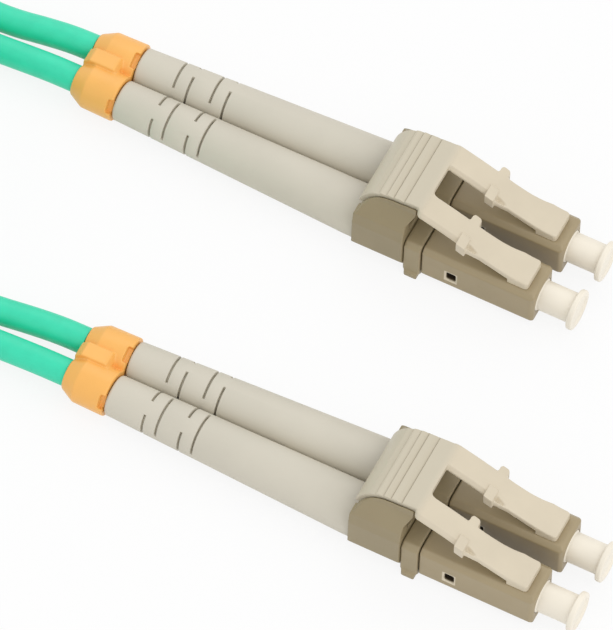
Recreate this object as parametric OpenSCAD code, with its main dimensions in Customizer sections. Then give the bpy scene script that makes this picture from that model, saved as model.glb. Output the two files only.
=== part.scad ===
// Duplex fibre optic patch cord: two duplex connectors joined by two strands of cable.
//
// Each end carries two plugs side by side. A plug is a square frame with a sprung ceramic
// ferrule under a dust cap, a back body, a crimp sleeve and a slotted strain relief boot.
// A holder grips the two back bodies, a one-piece latch clip with a ribbed thumb cover
// releases both plugs, and a boot clip ties the boot tails together. The strands lie on
// the surface and the length between the ends is wound into a coil held by a strap.
//
// +X points out of the plugs, +Z is the latch side, Z = 0 is the surface. Millimetres.

/* [Plug] */
// Distance between the two plug axes
pitch = 6.25; // [6.2:0.05:6.6]
// Width and height of a plug frame
plug_w = 4.52; // [4.4:0.02:4.7]
// Length of a plug frame
plug_l = 12.1; // [11.6:0.1:13]
// Chamfer along the edges of a plug frame
plug_chamfer = 0.5; // [0.3:0.05:0.7]
// Diameter of the frame's nose cavity and spring cavity
cavity_d = 3.5; // [3.4:0.05:3.7]
// Depth of the nose cavity
nose_depth = 5; // [4:0.1:5.5]
// Thickness of the web between the two cavities
web_t = 1; // [0.8:0.1:1.4]
// Length of the small side window
window_l = 1; // [0.6:0.1:1.4]
// Height of the small side window
window_h = 1.2; // [0.8:0.1:1.6]

/* [Ferrule] */
// Diameter of the ceramic ferrule
ferrule_d = 1.25; // [1.2:0.01:1.3]
// Reach of the ferrule past the frame
ferrule_reach = 2.3; // [1.8:0.1:2.8]
// Diameter of the ferrule's flange
flange_d = 2.9; // [2.7:0.05:3]
// Thickness of the ferrule's flange
flange_t = 1.2; // [1:0.1:1.5]
// Length of the spring guide behind the flange
guide_l = 1.4; // [1:0.1:2]
// Wire diameter of the ferrule spring
wire_d = 0.34; // [0.3:0.01:0.4]
// Number of spring turns
spring_turns = 6; // [5:1:7]

/* [Dust cap] */
// Outer diameter of the cap's tube
cap_d = 3.1; // [2.9:0.05:3.2]
// Reach of the cap past the frame
cap_reach = 4; // [3.7:0.05:4.5]
// Depth of the cap inside the frame
cap_depth = 2; // [1.5:0.1:3]
// Diameter of the cap's finger flange
cap_flange_d = 4.2; // [3.9:0.1:4.8]
// Thickness of the cap's finger flange
cap_flange_t = 0.6; // [0.5:0.05:0.8]

/* [Back body] */
// Width and height of the collar behind the frame
collar_w = 4.9; // [4.8:0.05:5.1]
// Length of the collar
collar_l = 1.8; // [1.6:0.1:2.4]
// Diameter of the neck inside the holder
neck_d = 3.6; // [3.5:0.05:3.8]
// Length of the neck behind the collar
neck_l = 3.05; // [2.9:0.05:3.4]
// Diameter of the crimp post
post_d = 2.9; // [2.7:0.05:3]
// Length of the crimp post
post_l = 4.2; // [3.6:0.1:5]
// Bore for the buffered fibre
fibre_bore_d = 1.2; // [1.1:0.05:1.3]

/* [Duplex holder] */
// Length of the holder
holder_l = 5.5; // [5.4:0.1:6.2]
// Overall width of the holder
holder_w = 11.6; // [11.6:0.1:12.4]
// Depth of the holder's base below the plug axes
holder_drop = 2.75; // [2.7:0.05:3.2]
// Height of the holder's side walls above the plug axes, below the cover's crest
wall_h = 6.2; // [6:0.05:6.25]
// Height of the holder's floor above the plug axes
deck_h = 3.1; // [3.05:0.05:3.2]

/* [Latch clip] */
// Width of the ribbed thumb cover
cover_w = 8.2; // [7.8:0.1:8.5]
// Height of the cover's front above the plug axes
cover_h = 7.5; // [7.45:0.05:7.7]
// Height of the cover's rear lip above the plug axes
lip_h = 4.2; // [4.2:0.05:4.6]
// Wall thickness of the cover
cover_t = 0.7; // [0.65:0.05:0.9]
// Number of grooves across the cover
groove_count = 4; // [3:1:5]
// Width of a cover groove
groove_w = 0.22; // [0.15:0.01:0.3]
// Thickness of a latch arm
arm_t = 0.68; // [0.55:0.01:0.8]
// Width of a latch arm at its nose
arm_w = 3.3; // [3:0.05:3.6]
// Flat width on top of a latch arm behind its wings
arm_top_w = 2.3; // [2:0.1:2.6]
// Width across the two latch wings of an arm
wing_w = 3.9; // [3.7:0.05:4.2]
// Length of a latch wing
wing_l = 1.1; // [0.9:0.1:1.3]
// Length of the foot that fixes an arm to its frame
foot_l = 2.2; // [1.8:0.1:2.6]

/* [Boot] */
// Length of a strain relief boot
boot_l = 29.5; // [27:0.5:32]
// Diameter of a boot where it leaves the holder
boot_d = 5.4; // [5.2:0.05:5.45]
// Diameter of a boot at its tail
boot_tail_d = 4.2; // [4.1:0.1:4.6]
// Width of a flex slot
slot_w = 0.35; // [0.25:0.05:0.5]
// Distance between the two slots of a pair
slot_step = 1.5; // [1.2:0.1:1.8]
// Distance between the pairs of slots
slot_pitch = 4; // [3.6:0.1:4.4]
// Distance of the first slot from the tail
slot_start = 4.1; // [3.6:0.1:5]
// Arc of one flex slot in degrees
slot_arc = 138; // [120:2:150]

/* [Boot clip] */
// Length of the clip that ties the boot tails
clip_l = 4.8; // [4.4:0.1:5.4]
// Wall of the clip around a strand
clip_wall = 0.85; // [0.75:0.05:0.9]
// Width of the clip's middle rib
clip_rib_w = 1.7; // [1.4:0.1:2]

/* [Cable] */
// Outer diameter of one strand
cable_d = 2.8; // [2.6:0.05:2.8]
// Diameter of the buffered fibre
fibre_d = 0.9; // [0.8:0.05:1]
// Crimp sleeve wall
sleeve_wall = 0.35; // [0.25:0.05:0.4]

/* [Coil] */
// Radius of the outermost turn at its centre line
coil_out_r = 24; // [23.5:0.5:25]
// Whole turns in each of the two layers of the coil
coil_turns = 4; // [3:1:4]
// Clear gap between neighbouring turns
turn_gap = 0.45; // [0.42:0.01:0.6]
// Width of the strap around the coil
strap_w = 8; // [6:0.5:12]
// Thickness of the strap
strap_t = 0.8; // [0.6:0.1:1]

/* [Layout] */
// Distance from the object's middle to each end along X
end_dx = 7.5; // [6:0.5:9]
// Distance from the object's middle to each end along Y
end_dy = 15.2; // [14:0.1:17]
// Running clearance between parts that slide or seat
clearance = 0.1; // [0.05:0.01:0.12]

/* [Hidden] */
$fn = 48;
ENDS = ["a", "b"];
SIDES = ["right", "left"];
SIDE_PARTS = ["plug_frame", "ferrule", "ferrule_flange", "ferrule_spring", "dust_cap",
              "back_body", "crimp_sleeve", "buffered_fibre", "jacket_end", "boot"];
END_PARTS = ["duplex_holder", "latch_clip", "latch_feet", "boot_clip"];
STRANDS = ["lower", "upper"];

// Places along a plug, measured back from the frame's front face
seat_gap = 0.02;
web_x = -nose_depth;
flange_x = web_x - web_t - seat_gap;
guide_x = flange_x - flange_t;
collar_x = -plug_l - clearance;
neck_x = collar_x - collar_l;
post_x = neck_x - neck_l;
holder_x = neck_x - clearance / 2;
holder_end_x = holder_x - holder_l;
window_x = -9.4;
window_z = -0.9;

// Ferrule and its spring
web_hole_d = ferrule_d + 0.65;
tip_chamfer = 0.15;
ferrule_depth = 1;
guide_r = ferrule_d / 2 + 0.2;
body_nose_l = 0.7;
cap_space = 0.4;

// The boots lie side by side, closer than the plugs, and lean together towards their tails
boot_x = post_x - clearance;
clip_start = boot_l + clearance;
clip_end = clip_start + clip_l;
boots_gap = 0.2;
tails_gap = 0.05;
boot_dy = (boot_d + boots_gap) / 2;
lean = asin((boot_dy - (boot_tail_d + tails_gap) / 2) / boot_l);
tail_reach = clip_end * cos(lean) - boot_x;

// The object stands on the holders and is centred on its origin
axis_h = holder_drop;
plug_x0 = (tail_reach - cap_reach) / 2;
end_x = [plug_x0 - end_dx, plug_x0 + end_dx];
end_y = [end_dy, -end_dy];
side_y = [-pitch / 2, pitch / 2];
boot_y = [-boot_dy, boot_dy];

// Latch clip: the arms leave the cover under its front edge, fall, and level out to their
// feet on the frames. Both are alike: an arm's neck behind its wings lies a little to the
// right, and its right edge is bevelled
frame_top = plug_w / 2;
arm_front_x = -1;
arm_front_h = frame_top + 0.94;
arm_root_x = -12.75;
arm_root_h = cover_h - 0.4;
arm_back_x = arm_root_x - 0.5;
arm_sag = 4;
arm_chamfer = 0.42;
arm_shift = 0.2;
arm_flat_out = arm_top_w / 2 + arm_shift;
arm_out = arm_flat_out + 0.35;
arm_in = arm_top_w / 2 - arm_shift + 0.2;
arm_neck_x = -7.2;
arm_pad_x = -2.9;
arm_steps = 12;
shoulder_r = 0.5;
hinge_gap = 0.1;
foot_x = arm_front_x - foot_l;
wing_x = -8.7;
wing_rise = 0.25;
wing_t = 1;
wing_inner = 0.8;
wing_shift = 0.15;
cover_crest_x = -16;
cover_crest_h = cover_h - 0.2;
cover_back_l = 3.9;
cover_back_h = 4.6;
cover_mid_h = cover_crest_h - cover_back_h;
lip_angle = asin((lip_h - cover_mid_h) / cover_back_h);
groove_x0 = cover_crest_x - 1.5;
groove_step = 0.9;
groove_depth = 0.14;

// Holder: outline of one half as [distance from the middle, height]
holder_side = holder_w / 2;
well_side = cover_w / 2 + clearance;
holder_back_h = 3.9;
wall_step = 0.45;
rim_w = 0.15;
base_h = -0.8;
side_h = 2.6;
shoulder_h = 4;
holder_half = [[0, -holder_drop], [holder_side - 1.2, -holder_drop], [holder_side, base_h],
               [holder_side, side_h], [holder_side - 0.25, shoulder_h],
               [well_side + rim_w, wall_h], [well_side + rim_w, cover_h], [0, cover_h]];

// Boot: the slots of a pair lie a quarter turn apart, and one boot is turned in its seat
boot_roll = [20, 68];
boot_edge = 0.3;
boot_skin = 0.2;
boot_straight = 3.5;
boot_gap = 0.3;
jacket_bore = cable_d + 2 * clearance;
sleeve_bore = post_d + clearance;
sleeve_d = sleeve_bore + 2 * sleeve_wall;
sleeve_l = post_l + 0.7;
sleeve_room = 0.4;
jacket_start = sleeve_l + 0.2;
stripped_l = 1.4;

// Boot clip
clip_d = jacket_bore + 2 * clip_wall;
clip_taper = 1;
clip_rib_l = 3.7;
clip_rib_h = clip_d / 2 + 0.05;
clip_rib_slope = 0.7;
clip_notch = 0.5;

// Strands: each layer of the coil holds the two strands one above the other
cable_r = cable_d / 2;
turn_pitch = cable_d + turn_gap;
coil_c = [-70, -8];
coil_half = coil_turns + 0.25;
coil_in_r = coil_out_r - turn_pitch * coil_half;
coil_dip = 0.6;
coil_rings = 24;
coil_sides = 6;
lead_sides = 8;
strap_gap = 0.2;
coil_z = strap_t + strap_gap + cable_r;
strand_z = [coil_z, coil_z + turn_pitch];
lead_a = [
    [[-35.3, 13.2, 2.75], [-38, 13.2, 2.7], [-41, 13.15, 2.5], [-44, 13.1, 2.25],
     [-47, 13.2, 1.9], [-50.5, 13.6, 1.55], [-54, 14.4, 1.5], [-58, 15.3, 1.7],
     [-61.5, 15.8, 2.1], [-65.2, 16, 2.4], [-67.2, 16, 2.4]],
    [[-35.3, 17.2, 2.75], [-38, 17.15, 2.65], [-41, 16.95, 2.35], [-44, 16.7, 2],
     [-47, 16.6, 2], [-50.5, 16.75, 2.6], [-54, 16.9, 3.6], [-58, 16.8, 4.6],
     [-61.5, 16.3, 5.3], [-65.2, 16, 5.65], [-67.2, 16, 5.65]]];
lead_b = [
    [[-67.2, -32, 8.9], [-65.2, -32, 8.9], [-61, -31.2, 8.6], [-57, -29.3, 7.6],
     [-53, -26.6, 6], [-49, -23.5, 4.3], [-45, -20.3, 2.9], [-41, -17.2, 1.9],
     [-38, -15.3, 1.5], [-35, -14.1, 1.5], [-32, -13.7, 1.7], [-29, -13.5, 2],
     [-26, -13.3, 2.35], [-23, -13.2, 2.65], [-20.3, -13.2, 2.75]],
    [[-67.2, -32, 12.15], [-65.2, -32, 12.15], [-61, -31.4, 11.9], [-57, -29.8, 10.9],
     [-53, -27.6, 9.4], [-49, -25.1, 7.5], [-45, -22.5, 5.7], [-41, -20.1, 4],
     [-38, -18.6, 2.9], [-35, -17.6, 2.2], [-32, -17.2, 2.05], [-29, -17.2, 2.25],
     [-26, -17.2, 2.5], [-23, -17.2, 2.7], [-20.3, -17.2, 2.75]]];

// ---------------------------------------------------------------- helpers
// An outline in [Y, Z] drawn out along X from x0 to x1
module along_x(x0, x1) {
    translate([min(x0, x1), 0, 0]) rotate([90, 0, 90])
        linear_extrude(height = abs(x1 - x0)) children();
}

// An outline in [X, Z] drawn out along Y, centred on the middle
module across_y(w) {
    rotate([90, 0, 0]) linear_extrude(height = w, center = true) children();
}

// A round bar along X
module bar(d, x0, x1) {
    translate([min(x0, x1), 0, 0]) rotate([0, 90, 0]) cylinder(d = d, h = abs(x1 - x0));
}

// A turned solid along X from its outline of [radius, x]
module turned(outline) {
    rotate([0, 90, 0]) rotate_extrude() polygon(outline);
}

module chamfered_square(w, c) {
    h = w / 2;
    polygon([[h - c, h], [h, h - c], [h, c - h], [h - c, -h],
             [c - h, -h], [-h, c - h], [-h, h - c], [c - h, h]]);
}

module at_end(e) translate([end_x[e], end_y[e], axis_h]) children();

module at_side(s) translate([0, side_y[s], 0]) children();

// The leaning frame of a boot: its own X starts at the seat and runs back along -X
module at_tail(s)
    translate([boot_x, boot_y[s], 0]) rotate([0, 0, s == 0 ? -lean : lean]) children();

function name_of(e, part) = str(ENDS[e], "_", part);

function side_name(e, s, part) = str(ENDS[e], "_", SIDES[s], "_", part);

// A tube of any route: the rings stand square to it, and its ends are flat
function heading(p, i) =
    let (a = p[max(i - 1, 0)], b = p[min(i + 1, len(p) - 1)], d = b - a) d / norm(d);

function ring(c, d, r, sides) =
    let (side = cross(d, [0, 0, 1]), u = side / norm(side), v = cross(u, d))
    [for (k = [0 : sides - 1]) let (a = 360 * k / sides) c + r * (cos(a) * u + sin(a) * v)];

module tube(p, r, sides) {
    n = len(p);
    points = [for (i = [0 : n - 1]) each ring(p[i], heading(p, i), r, sides)];
    walls = [for (i = [0 : n - 2], k = [0 : sides - 1])
        let (a = i * sides + k, b = i * sides + (k + 1) % sides)
        each [[a, b, a + sides], [b, b + sides, a + sides]]];
    first = [for (k = [1 : sides - 2]) [0, k + 1, k]];
    base = (n - 1) * sides;
    last = [for (k = [1 : sides - 2]) [base, base + k, base + k + 1]];
    polyhedron(points, concat(walls, first, last));
}

// ---------------------------------------------------------------- plug
module plug_frame() {
    nose_chamfer = 0.3;
    h = plug_w / 2;
    side = [[-plug_l, -h], [-nose_chamfer, -h], [0, nose_chamfer - h],
            [0, h - nose_chamfer], [-nose_chamfer, h], [-plug_l, h]];
    color([0.55, 0.49, 0.38]) difference() {
        intersection() {
            along_x(-plug_l, 0) chamfered_square(plug_w, plug_chamfer);
            across_y(plug_w) polygon(side);
            translate([0, 0, -h]) linear_extrude(height = plug_w) polygon(side);
        }
        bar(cavity_d, web_x, 1);
        bar(web_hole_d, -plug_l, 0);
        bar(cavity_d, -plug_l - 1, web_x - web_t);
        translate([window_x, -plug_w, window_z]) cube([window_l, 2 * plug_w, window_h]);
    }
}

module ferrule() {
    r = ferrule_d / 2;
    c = tip_chamfer;
    color([0.95, 0.95, 0.93]) turned([[0, flange_x - ferrule_depth],
        [r, flange_x - ferrule_depth], [r, ferrule_reach - 2 * c],
        [r - c, ferrule_reach], [0, ferrule_reach]]);
}

module ferrule_flange() {
    bore = fibre_bore_d / 2;
    color([0.75, 0.76, 0.78]) turned([[ferrule_d / 2, flange_x], [flange_d / 2, flange_x],
        [flange_d / 2, guide_x], [guide_r, guide_x], [guide_r, guide_x - guide_l],
        [bore, guide_x - guide_l], [bore, flange_x - ferrule_depth],
        [ferrule_d / 2, flange_x - ferrule_depth]]);
}

module ferrule_spring() {
    r = guide_r + clearance + wire_d / 2;
    x0 = guide_x - wire_d / 2 - seat_gap;
    x1 = -plug_l + body_nose_l + wire_d / 2 + seat_gap;
    steps = 8 * spring_turns;
    route = [for (i = [0 : steps]) let (a = 360 * spring_turns * i / steps)
        [x0 + (x1 - x0) * i / steps, r * cos(a), r * sin(a)]];
    color([0.8, 0.81, 0.83]) tube(route, wire_d / 2, 5);
}

// Tube over the ferrule with a finger flange at its outer end
module dust_cap() {
    r = cap_d / 2;
    f = cap_flange_d / 2;
    bore = ferrule_d / 2 + clearance;
    fillet = f - r - 0.15;
    edge = 0.12;
    flange_back = cap_reach - cap_flange_t;
    bore_end = ferrule_reach + cap_space;
    neck = [for (a = [0 : 15 : 75])
        [r + fillet * (1 - cos(a)), flange_back - fillet + fillet * sin(a)]];
    color([0.96, 0.93, 0.87]) turned(concat([[bore, -cap_depth], [r, -cap_depth]], neck,
        [[f - edge, flange_back], [f, flange_back + edge], [f, cap_reach - edge],
         [f - edge, cap_reach], [0, cap_reach], [0, bore_end], [bore, bore_end]]));
}

module back_body() {
    foot_w = 5.4;
    foot_inset = 0.2;
    foot_h = 0.75;
    rib_step = 0.8;
    groove = 0.12;
    color([0.52, 0.46, 0.35]) difference() {
        union() {
            bar(cavity_d - 2 * clearance, collar_x, -plug_l + body_nose_l);
            along_x(neck_x, collar_x) chamfered_square(collar_w, plug_chamfer);
            translate([neck_x + foot_inset, -foot_w / 2, -holder_drop])
                cube([collar_l - 2 * foot_inset, foot_w, foot_h]);
            bar(neck_d, post_x, neck_x);
            bar(post_d, post_x - post_l, post_x);
        }
        bar(fibre_bore_d, post_x - post_l - 1, 0);
        for (x = [post_x - rib_step : -rib_step : post_x - post_l + rib_step])
            turned([[post_d / 2 - groove, x - 2 * groove], [post_d, x - 2 * groove],
                    [post_d, x], [post_d / 2 - groove, x]]);
    }
}

module crimp_sleeve() {
    color([0.82, 0.8, 0.74]) difference() {
        bar(sleeve_d, boot_x, boot_x - sleeve_l);
        bar(sleeve_bore, 0, boot_x - sleeve_l - 1);
    }
}

module buffered_fibre() {
    front = flange_x - ferrule_depth - 0.8;
    color([0.2, 0.75, 0.65]) bar(fibre_d, front, boot_x - jacket_start - stripped_l);
}

// The strand's jacket inside the boot, up to the end of the boot clip
module jacket_end(s) {
    color([0.28, 0.85, 0.7]) difference() {
        at_tail(s) bar(cable_d, -jacket_start, -clip_end);
        at_side(s) bar(fibre_bore_d + clearance, 0, boot_x - jacket_start - stripped_l - 0.3);
    }
}

// ---------------------------------------------------------------- boot
module flex_slot(x, r, turn) {
    rotate([turn, 0, 0]) rotate([0, 90, 0]) rotate([0, 0, 180 - slot_arc / 2])
        rotate_extrude(angle = slot_arc)
            translate([jacket_bore / 2 + boot_skin, x]) square([r, slot_w]);
}

module boot(s) {
    r0 = boot_d / 2;
    r1 = boot_tail_d / 2;
    e = boot_edge;
    color([0.82, 0.79, 0.73]) difference() {
        at_tail(s) difference() {
            turned([[0, 0], [r0 - e, 0], [r0, -e], [r0, -boot_straight], [r1, e - boot_l],
                    [r1 - e, -boot_l], [0, -boot_l]]);
            bar(jacket_bore, 1, -boot_l - 1);
            for (pair = [0, 1], i = [0, 1], half = [0, 180])
                flex_slot(slot_start + pair * slot_pitch + i * slot_step - boot_l, r0,
                          boot_roll[s] + half + (i == 0 ? 90 : 0));
        }
        at_side(s) bar(sleeve_d + 2 * clearance, 0, post_x - sleeve_l - sleeve_room);
    }
}

// ---------------------------------------------------------------- duplex holder
module duplex_holder() {
    arc = [for (a = [0 : 10 : 70])
        [cover_crest_x - (cover_back_l - wall_step) * sin(a),
         cover_mid_h + (cover_back_h - wall_step) * cos(a)]];
    other_half = [for (i = [len(holder_half) - 2 : -1 : 1])
        [-holder_half[i][0], holder_half[i][1]]];
    color([0.53, 0.48, 0.36]) difference() {
        intersection() {
            along_x(holder_end_x, holder_x) polygon(concat(holder_half, other_half));
            across_y(holder_w + 1) polygon(concat(
                [[holder_x, -holder_drop], [holder_x, cover_top(holder_x) - wall_step]], arc,
                [[holder_end_x, holder_back_h], [holder_end_x, -holder_drop]]));
        }
        translate([holder_end_x - 1, -well_side, deck_h])
            cube([holder_l + 2, 2 * well_side, cover_h]);
        for (s = [0, 1]) {
            at_side(s) bar(neck_d + 2 * clearance, post_x - 1, holder_x + 1);
            translate([0, boot_y[s], 0]) bar(boot_d + boot_gap, holder_end_x - 1, post_x);
        }
    }
}

// ---------------------------------------------------------------- latch clip
function arm_top(x) =
    let (u = max(0, min(1, (x - arm_root_x) / (arm_front_x - arm_root_x))))
    arm_root_h + (arm_front_h - arm_root_h) * u - arm_sag * u * u * u * (1 - u);

// The cover's back is a quarter of an ellipse, and a slope runs from its crest to the front
function cover_top(x) =
    let (back = (x - cover_crest_x) / cover_back_l)
    x < cover_crest_x ? cover_mid_h + cover_back_h * sqrt(1 - back * back)
    : cover_crest_h + (cover_h - cover_crest_h) * (x - cover_crest_x)
        / (arm_root_x - cover_crest_x);

function arm_line(x0, x1, drop) =
    [for (i = [0 : arm_steps]) let (x = x0 + (x1 - x0) * i / arm_steps)
        [x, arm_top(x) - drop]];

module arm_plan() {
    front = arm_w / 2;
    r = shoulder_r;
    corner_x = arm_back_x + r;
    polygon(concat(
        [for (a = [90 : 30 : 180]) [corner_x + r * cos(a), arm_in - r + r * sin(a)]],
        [for (a = [180 : 30 : 270]) [corner_x + r * cos(a), r - arm_out + r * sin(a)]],
        [[arm_front_x, -front], [arm_front_x, front], [arm_pad_x, front],
         [(arm_pad_x + arm_neck_x) / 2, arm_in + 0.1], [arm_neck_x, arm_in]]));
}

// Bevel along the arm's outer upper edge, from its root to its wings
module arm_bevel() {
    length = wing_x + wing_l - arm_root_x;
    fall = atan2(arm_top(arm_root_x) - arm_top(wing_x + wing_l), length);
    t = arm_flat_out;
    run = 2 * (arm_out - t);
    translate([arm_root_x, 0, arm_top(arm_root_x)]) rotate([0, fall, 0])
        along_x(-2, length / cos(fall))
            polygon([[-t, 0], [-t - run, -2 * arm_chamfer], [-t - run, 1], [-t, 1]]);
}

module latch_arm() {
    front = foot_x - hinge_gap;
    difference() {
        intersection() {
            across_y(2 * wing_w) polygon(concat([[arm_back_x, arm_root_h]],
                arm_line(arm_root_x, front, 0), arm_line(front, arm_root_x, arm_t),
                [[arm_back_x, arm_root_h - arm_t]]));
            linear_extrude(height = cover_h + 1) arm_plan();
        }
        arm_bevel();
    }
    top = arm_top(wing_x + wing_l / 2) + wing_rise;
    edge = 0.22;
    for (m = [0, 1]) let (w = wing_w / 2 + (m == 0 ? -wing_shift : wing_shift))
        mirror([0, m, 0]) along_x(wing_x, wing_x + wing_l)
            polygon([[wing_inner, top - wing_t], [w, top - wing_t], [w, top - edge],
                     [w - edge, top], [wing_inner, top]]);
}

module thumb_cover() {
    a0 = cover_back_l;
    b0 = cover_back_h;
    outer = [for (i = [0 : 10]) let (a = lip_angle + (90 - lip_angle) * i / 10)
        [cover_crest_x - a0 * cos(a), cover_mid_h + b0 * sin(a)]];
    low = asin((lip_h - cover_mid_h) / (b0 - cover_t));
    inner = [for (i = [0 : 10]) let (a = 90 - (90 - low) * i / 10)
        [cover_crest_x - (a0 - cover_t) * cos(a), cover_mid_h + (b0 - cover_t) * sin(a)]];
    front = arm_root_x;
    across_y(cover_w) difference() {
        polygon(concat(outer, [[front, cover_h], [front, cover_h - cover_t]], inner));
        for (i = [0 : groove_count - 1]) {
            x = groove_x0 + i * groove_step;
            translate([x, cover_top(x) - groove_depth]) square([groove_w, 1]);
        }
    }
}

module latch_clip() {
    color([0.86, 0.82, 0.73]) union() {
        thumb_cover();
        for (s = [0, 1]) at_side(s) latch_arm();
    }
}

module latch_feet() {
    color([0.86, 0.82, 0.73]) for (s = [0, 1]) at_side(s) intersection() {
        across_y(arm_w) polygon(concat([[foot_x, frame_top]],
            arm_line(foot_x, arm_front_x, 0), [[arm_front_x, frame_top]]));
        linear_extrude(height = cover_h) arm_plan();
    }
}

// ---------------------------------------------------------------- boot clip
module boot_clip() {
    front = -clip_start;
    back = -clip_end;
    r = clip_d / 2;
    mouth = jacket_bore / 2 + 0.25;
    rib_x = boot_x + back * cos(lean);
    slope = clip_rib_slope;
    notch_w = 1.6;
    notch_turn = [62, 20];
    color([0.98, 0.7, 0.3]) difference() {
        union() {
            for (s = [0, 1]) at_tail(s)
                turned([[0, back], [mouth, back], [r, back + clip_taper], [r, front], [0, front]]);
            across_y(clip_rib_w) polygon([[rib_x, -r / 2], [rib_x, clip_rib_h - slope],
                [rib_x + slope, clip_rib_h], [rib_x + clip_rib_l - slope / 2, clip_rib_h],
                [rib_x + clip_rib_l, clip_rib_h - slope], [rib_x + clip_rib_l, -r / 2]]);
        }
        for (s = [0, 1]) at_tail(s) {
            bar(jacket_bore, front + 1, back - 1);
            rotate([notch_turn[s], 0, 0])
                translate([front - clip_notch, -notch_w / 2, jacket_bore / 2 + 0.1])
                    cube([1, notch_w, r]);
        }
    }
}

// ---------------------------------------------------------------- strands and coil
// Height of the coil's route: it climbs over both strands in the half turn at the middle
function climb(t) = max(0, min(1, (t - coil_half) * 2 + 0.5)) * 2 * turn_pitch;

function coil_radius(t) =
    let (away = abs(t - coil_half), k = max(0, 1 - 4 * away * away))
    coil_in_r + turn_pitch * away - coil_dip * k * k;

function coil_turn_points(level) =
    [for (i = [0 : 2 * coil_half * coil_rings])
        let (t = i / coil_rings, a = 90 + 360 * t, r = coil_radius(t))
        [coil_c[0] + r * cos(a), coil_c[1] + r * sin(a), level + climb(t)]];

function coil_route(level) =
    let (turns = coil_turn_points(level), first = turns[0], last = turns[len(turns) - 1])
    concat([first + [cable_d, 0, 0]], turns, [last + [cable_d, 0, 0]]);

// Least clear gap of a route to points at least most of a turn further on, and to another
function self_gap(p) =
    min([for (i = [0 : len(p) - 1], j = [i + coil_rings * 0.6 : len(p) - 1])
        norm(p[i] - p[floor(j)])]) - cable_d;

function pair_gap(p, q) = min([for (a = p, b = q) norm(a - b)]) - cable_d;

// Outline of a box with round corners, from its low corner to its high one
function rounded_box(lo, hi, r) =
    [for (c = [[hi[0] - r, hi[1] - r, 0], [lo[0] + r, hi[1] - r, 90],
               [lo[0] + r, lo[1] + r, 180], [hi[0] - r, lo[1] + r, 270]])
        for (a = [0 : 15 : 90]) [c[0] + r * cos(c[2] + a), c[1] + r * sin(c[2] + a)]];

module coil_strap() {
    half = strap_w / 2;
    bend = cable_r + strap_gap;
    hole = coil_in_r - coil_dip - cable_r;
    reach = sqrt(hole * hole - half * half) - 2 * strap_gap;
    lo = [-coil_out_r - bend, strap_t];
    hi = [-reach, strand_z[1] + 2 * turn_pitch + bend];
    t = [strap_t, strap_t];
    color([0.12, 0.12, 0.13]) translate([coil_c[0], coil_c[1], 0]) across_y(strap_w)
        difference() {
            polygon(rounded_box(lo - t, hi + t, bend + strap_t));
            polygon(rounded_box(lo, hi, bend));
        }
}

jacket_colour = [0.28, 0.9, 0.73];

echo(coil_self_gap = self_gap(coil_turn_points(strand_z[0])),
     strand_gap = pair_gap(coil_turn_points(strand_z[0]), coil_turn_points(strand_z[1])));

for (e = [0, 1]) at_end(e) {
    for (s = [0, 1]) {
        at_side(s) plug_frame();
        at_side(s) ferrule();
        at_side(s) ferrule_flange();
        at_side(s) ferrule_spring();
        at_side(s) dust_cap();
        at_side(s) back_body();
        at_side(s) crimp_sleeve();
        at_side(s) buffered_fibre();
        jacket_end(s);
        boot(s);
    }
    duplex_holder();
    latch_clip();
    latch_feet();
    boot_clip();
}
for (i = [0, 1]) color(jacket_colour) {
    tube(lead_a[i], cable_r, lead_sides);
    tube(coil_route(strand_z[i]), cable_r, coil_sides);
    tube(lead_b[i], cable_r, lead_sides);
}
coil_strap();
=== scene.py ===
"""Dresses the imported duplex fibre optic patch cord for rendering.

Every length in the property groups is in metres; the outlines below are written in
millimetres in a plug's own frame (x forward from the frame's front face, y to the left,
z up from the plug's axis) and brought to metres by place().
"""
import math

import bmesh
import bpy
from bpy.props import FloatProperty, FloatVectorProperty, IntProperty, PointerProperty
from mathutils import Matrix, Vector


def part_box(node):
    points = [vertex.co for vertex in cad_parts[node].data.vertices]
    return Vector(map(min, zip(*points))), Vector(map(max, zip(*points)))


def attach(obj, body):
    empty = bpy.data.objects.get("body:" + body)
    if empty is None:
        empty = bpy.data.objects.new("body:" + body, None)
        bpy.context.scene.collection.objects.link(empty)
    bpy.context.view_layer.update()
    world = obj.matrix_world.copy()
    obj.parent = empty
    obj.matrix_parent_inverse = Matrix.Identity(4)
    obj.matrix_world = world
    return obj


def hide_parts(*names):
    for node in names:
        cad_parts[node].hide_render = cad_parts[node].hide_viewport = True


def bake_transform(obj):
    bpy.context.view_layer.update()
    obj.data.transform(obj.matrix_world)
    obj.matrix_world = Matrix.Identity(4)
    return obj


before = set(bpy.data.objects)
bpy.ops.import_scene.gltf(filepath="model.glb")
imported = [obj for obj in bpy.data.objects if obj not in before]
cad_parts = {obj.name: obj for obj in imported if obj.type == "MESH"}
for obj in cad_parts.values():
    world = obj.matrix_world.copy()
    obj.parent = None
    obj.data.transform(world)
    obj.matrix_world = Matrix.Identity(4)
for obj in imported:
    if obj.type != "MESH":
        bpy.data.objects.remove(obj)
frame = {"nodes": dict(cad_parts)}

bl_info = {
    "name": "Duplex patch cord looks",
    "version": (1, 0, 0),
    "blender": (4, 5, 0),
    "location": "3D View > Sidebar > Patch cord",
    "description": "Moulded plugs, boots, strands, coil and stage of a duplex patch cord",
    "category": "Object",
}

MM = 0.001
ENDS = ("a", "b")
SIDES = {"right": -1, "left": 1}
PLUGS = [(end, side) for end in ENDS for side in SIDES]
STRANDS = ("lower", "upper")
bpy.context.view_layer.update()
PICTURE_W, PICTURE_H = 613, 630

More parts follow.
